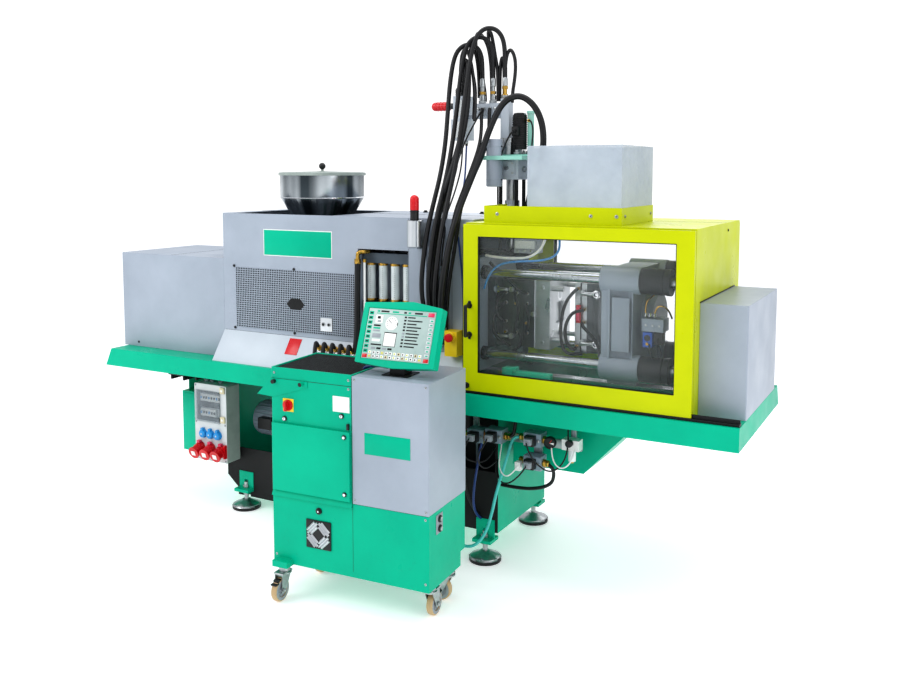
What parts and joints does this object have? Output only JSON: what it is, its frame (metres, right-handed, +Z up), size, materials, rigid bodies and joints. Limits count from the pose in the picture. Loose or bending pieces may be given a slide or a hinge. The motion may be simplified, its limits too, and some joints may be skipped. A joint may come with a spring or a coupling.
{
  "type": "injection moulding machine",
  "caption": "Horizontal plastic injection moulding machine with a sliding gate, hopper, upright second injection unit and a control cart on castors.",
  "frame": {"origin": "middle of the machine's footprint on the floor, hoses left out", "axes": "+X along the machine from the injection end to the clamp end, +Y from the operator's side to the back, +Z up"},
  "size_m": [3.536, 1.5846, 2.5372],
  "materials": {
    "green_paint": "powder coat, emerald green",
    "yellow_green_paint": "powder coat, yellow-green",
    "grey_paint": "powder coat, silver grey",
    "black_paint": "satin black",
    "stainless": "brushed stainless",
    "lid_metal": "satin",
    "machined_steel": "ground and machined",
    "cast_grey": "painted casting",
    "aluminium": "machined",
    "grey_plastic": "fine texture",
    "clear_plastic": "clear",
    "black_plastic": "fine texture",
    "red_plastic": "gloss",
    "socket_plastic": "gloss",
    "rubber_hose": "satin black cover",
    "blue_hose": "light blue cover",
    "zinc_plate": "bright zinc",
    "castor_tread": "tan polyurethane"
  },
  "bodies": {
    "machine": {"base_frame": "green_paint", "levelling_feet": "machined_steel", "drip_tray": "green_paint", "parts_chute": "green_paint", "bed_rails": "green_paint", "rear_cover": "grey_paint", "machine_housing": "grey_paint", "front_panel": "grey_paint", "flow_regulator": "aluminium", "signal_beacon": "grey_plastic", "end_cover": "grey_paint", "hood": "yellow_green_paint", "hood_collar": "yellow_green_paint", "splash_guard": "grey_paint", "gate_rail": "black_paint", "fixed_platen": "black_paint", "tie_bars": "machined_steel", "end_plate": "black_paint", "mould_half_fixed": "black_paint", "unit_columns": "machined_steel", "unit_motor": "aluminium", "unit_manifold": "aluminium", "signal_box": "grey_plastic", "valve_bank": "aluminium", "socket_box": "grey_plastic", "power_sockets": "socket_plastic", "cart_base": "green_paint", "cart_body": "green_paint", "cart_cabinet": "grey_paint", "screen_arm": "green_paint", "hose_left": "rubber_hose", "hose_middle": "rubber_hose", "hose_right": "rubber_hose", "hose_loop": "rubber_hose", "coolant_hose": "blue_hose"},
    "injection_unit": {"injection_carriage": "cast_grey", "injection_barrel": "machined_steel", "hopper": "stainless", "hopper_lid": "lid_metal"},
    "screw": {"plasticising_screw": "machined_steel"},
    "clamp_platen": {"moving_platen": "cast_grey", "clamp_cylinders": "black_paint", "mould_half_moving": "machined_steel"},
    "gate": {"gate_frame": "yellow_green_paint", "gate_pane": "clear_plastic", "gate_handle": "black_plastic"},
    "upright_unit": {"unit_carriage": "machined_steel"},
    "socket_lid": {"socket_window": "clear_plastic"},
    "stop_knob": {"stop_button": "red_plastic"},
    "switch_knob": {"main_switch": "red_plastic"},
    "door": {"cart_door": "green_paint"},
    "screen": {"screen_housing": "green_paint"},
    "fork_front_left": {"castor_fork_front_left": "zinc_plate"},
    "wheel_front_left": {"castor_wheel_front_left": "castor_tread"},
    "fork_front_right": {"castor_fork_front_right": "zinc_plate"},
    "wheel_front_right": {"castor_wheel_front_right": "castor_tread"},
    "fork_back_left": {"castor_fork_back_left": "zinc_plate"},
    "wheel_back_left": {"castor_wheel_back_left": "castor_tread"},
    "fork_back_right": {"castor_fork_back_right": "zinc_plate"},
    "wheel_back_right": {"castor_wheel_back_right": "castor_tread"}
  },
  "joints": [
    {"name": "injection_unit_slide", "type": "slide", "parent": "machine", "child": "injection_unit", "axis": [1, 0, 0], "range_m": [-0.1, 0]},
    {"name": "screw_spin", "type": "hinge", "parent": "injection_unit", "child": "screw", "pos_m": [-0.56, 0.34033, 1.172], "axis": [1, 0, 0], "continuous": true},
    {"name": "platen_slide", "type": "slide", "parent": "machine", "child": "clamp_platen", "axis": [1, 0, 0], "range_m": [-0.1247, 0.03]},
    {"name": "gate_slide", "type": "slide", "parent": "machine", "child": "gate", "axis": [1, 0, 0], "range_m": [0, 0.42]},
    {"name": "upright_unit_slide", "type": "slide", "parent": "machine", "child": "upright_unit", "axis": [0, 0, 1], "range_m": [-0.06, 0]},
    {"name": "socket_window_hinge", "type": "hinge", "parent": "machine", "child": "socket_lid", "pos_m": [-1.13, -0.06587, 0.4805], "axis": [0, 0, -1], "range_deg": [0, 110]},
    {"name": "stop_button_push", "type": "slide", "parent": "machine", "child": "stop_knob", "axis": [0, 1, 0], "range_m": [0, 0.005], "stiffness_N_per_m": 900},
    {"name": "main_switch_turn", "type": "hinge", "parent": "machine", "child": "switch_knob", "pos_m": [0.01659, -0.70439, 0.85], "axis": [0.056, -0.9984, 0], "range_deg": [0, 90]},
    {"name": "cart_door_hinge", "type": "hinge", "parent": "machine", "child": "door", "pos_m": [-0.05712, -0.71173, 0.62], "axis": [0, 0, -1], "range_deg": [0, 100]},
    {"name": "screen_tilt", "type": "hinge", "parent": "machine", "child": "screen", "pos_m": [0.48809, -0.57777, 1.062], "axis": [0.9984, 0.056, 0], "range_deg": [-12, 14]},
    {"name": "castor_swivel_front_left", "type": "hinge", "parent": "machine", "child": "fork_front_left", "pos_m": [-0.01237, -0.70601, 0.146], "axis": [0, 0, 1], "continuous": true},
    {"name": "castor_spin_front_left", "type": "hinge", "parent": "fork_front_left", "child": "wheel_front_left", "pos_m": [-0.01035, -0.74195, 0.05], "axis": [-0.9984, -0.056, 0], "continuous": true},
    {"name": "castor_swivel_front_right", "type": "hinge", "parent": "machine", "child": "fork_front_right", "pos_m": [0.6352, -0.56952, 0.146], "axis": [0, 0, 1], "continuous": true},
    {"name": "castor_spin_front_right", "type": "hinge", "parent": "fork_front_right", "child": "wheel_front_right", "pos_m": [0.63319, -0.53358, 0.05], "axis": [0.9984, 0.056, 0], "continuous": true},
    {"name": "castor_swivel_back_left", "type": "hinge", "parent": "machine", "child": "fork_back_left", "pos_m": [-0.0266, -0.45241, 0.146], "axis": [0, 0, 1], "continuous": true},
    {"name": "castor_spin_back_left", "type": "hinge", "parent": "fork_back_left", "child": "wheel_back_left", "pos_m": [-0.02861, -0.41647, 0.05], "axis": [0.9984, 0.056, 0], "continuous": true},
    {"name": "castor_swivel_back_right", "type": "hinge", "parent": "machine", "child": "fork_back_right", "pos_m": [0.62546, -0.39579, 0.146], "axis": [0, 0, 1], "continuous": true},
    {"name": "castor_spin_back_right", "type": "hinge", "parent": "fork_back_right", "child": "wheel_back_right", "pos_m": [0.58951, -0.39781, 0.05], "axis": [-0.056, 0.9984, 0], "continuous": true}
  ]
}
